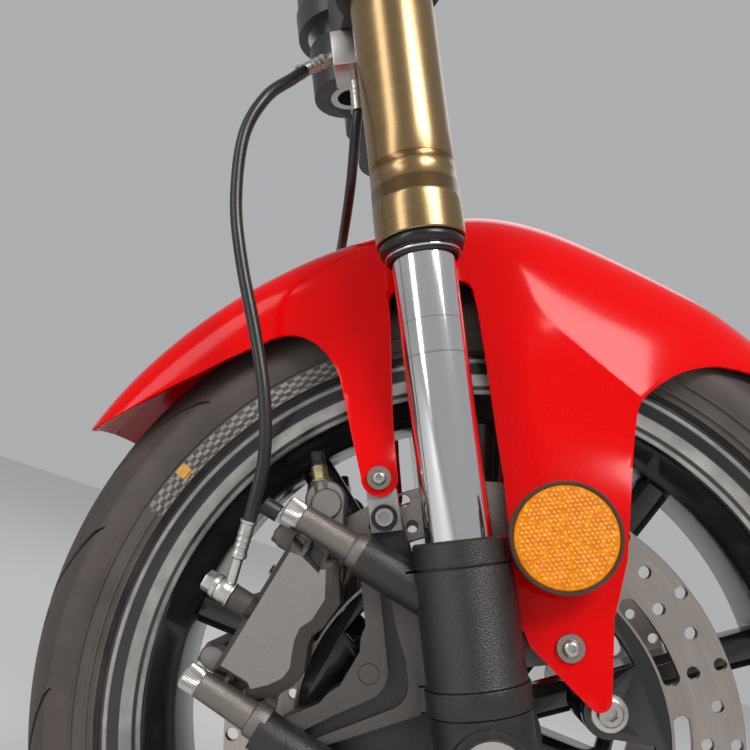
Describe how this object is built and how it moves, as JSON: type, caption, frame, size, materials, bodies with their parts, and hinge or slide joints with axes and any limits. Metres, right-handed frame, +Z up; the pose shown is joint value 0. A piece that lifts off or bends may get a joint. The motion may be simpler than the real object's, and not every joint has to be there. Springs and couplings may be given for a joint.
{
  "type": "sport motorcycle front end",
  "caption": "Front wheel of a sport motorcycle with upside-down fork, disc brakes, red mudguard, side reflectors and the steering head that carries them.",
  "frame": {"origin": "middle of the steering head, on the steering axis", "axes": "+X forward, +Y to the left, +Z up; the fork legs lean back by the rake"},
  "size_m": [0.622, 0.2756, 0.9437],
  "materials": {
    "frame_black": "satin",
    "bearing_steel": "ground",
    "stem_steel": "turned",
    "clamp_black": "black anodised",
    "gold_anodised": "brushed, gold anodised",
    "hard_chrome": "polished",
    "seal_rubber": "matte",
    "casting_black": "satin black on cast aluminium",
    "bright_steel": "zinc plated",
    "gloss_black": "gloss",
    "tyre_rubber": "moulded",
    "disc_steel": "ground",
    "caliper_grey": "sand cast, grey",
    "pad_material": "sintered, copper tone",
    "red_paint": "gloss red",
    "amber_lens": "prismatic amber",
    "hose_rubber": "smooth"
  },
  "bodies": {
    "head": {"head_tube": "frame_black", "steering_bearings": "bearing_steel"},
    "fork": {"steering_stem": "stem_steel", "lower_clamp": "clamp_black", "upper_clamp": "clamp_black", "stem_nut": "bright_steel", "fork_tube_right": "gold_anodised", "fork_tube_left": "gold_anodised", "fork_caps": "clamp_black", "dust_seals": "seal_rubber", "chrome_tube_right": "hard_chrome", "chrome_tube_left": "hard_chrome", "fork_bottom_right": "casting_black", "fork_bottom_left": "casting_black", "axle": "bright_steel", "wheel_spacers": "bright_steel", "caliper_right": "caliper_grey", "caliper_left": "caliper_grey", "brake_pads": "pad_material", "caliper_bolts": "bright_steel", "banjo_fittings": "bright_steel", "brake_hose_right": "hose_rubber", "brake_hose_left": "hose_rubber", "hose_union": "bright_steel", "mudguard": "red_paint", "mudguard_bracket_right": "casting_black", "mudguard_bracket_left": "casting_black", "mudguard_bolts": "bright_steel", "reflectors": "amber_lens"},
    "wheel": {"wheel_bearings": "bearing_steel", "tyre": "tyre_rubber", "wheel_rim": "gloss_black", "valve": "seal_rubber", "brake_disc_right": "disc_steel", "brake_disc_left": "disc_steel", "disc_carrier_right": "gloss_black", "disc_carrier_left": "gloss_black", "disc_bolts": "bright_steel"}
  },
  "joints": [
    {"name": "steering", "type": "hinge", "parent": "head", "child": "fork", "pos_m": [0, 0, 0], "axis": [-0.4147, 0, 0.91], "range_deg": [-27, 27]},
    {"name": "wheel_spin", "type": "hinge", "parent": "fork", "child": "wheel", "pos_m": [0.26218, 0, -0.49813], "axis": [0, 1, 0], "continuous": true}
  ]
}
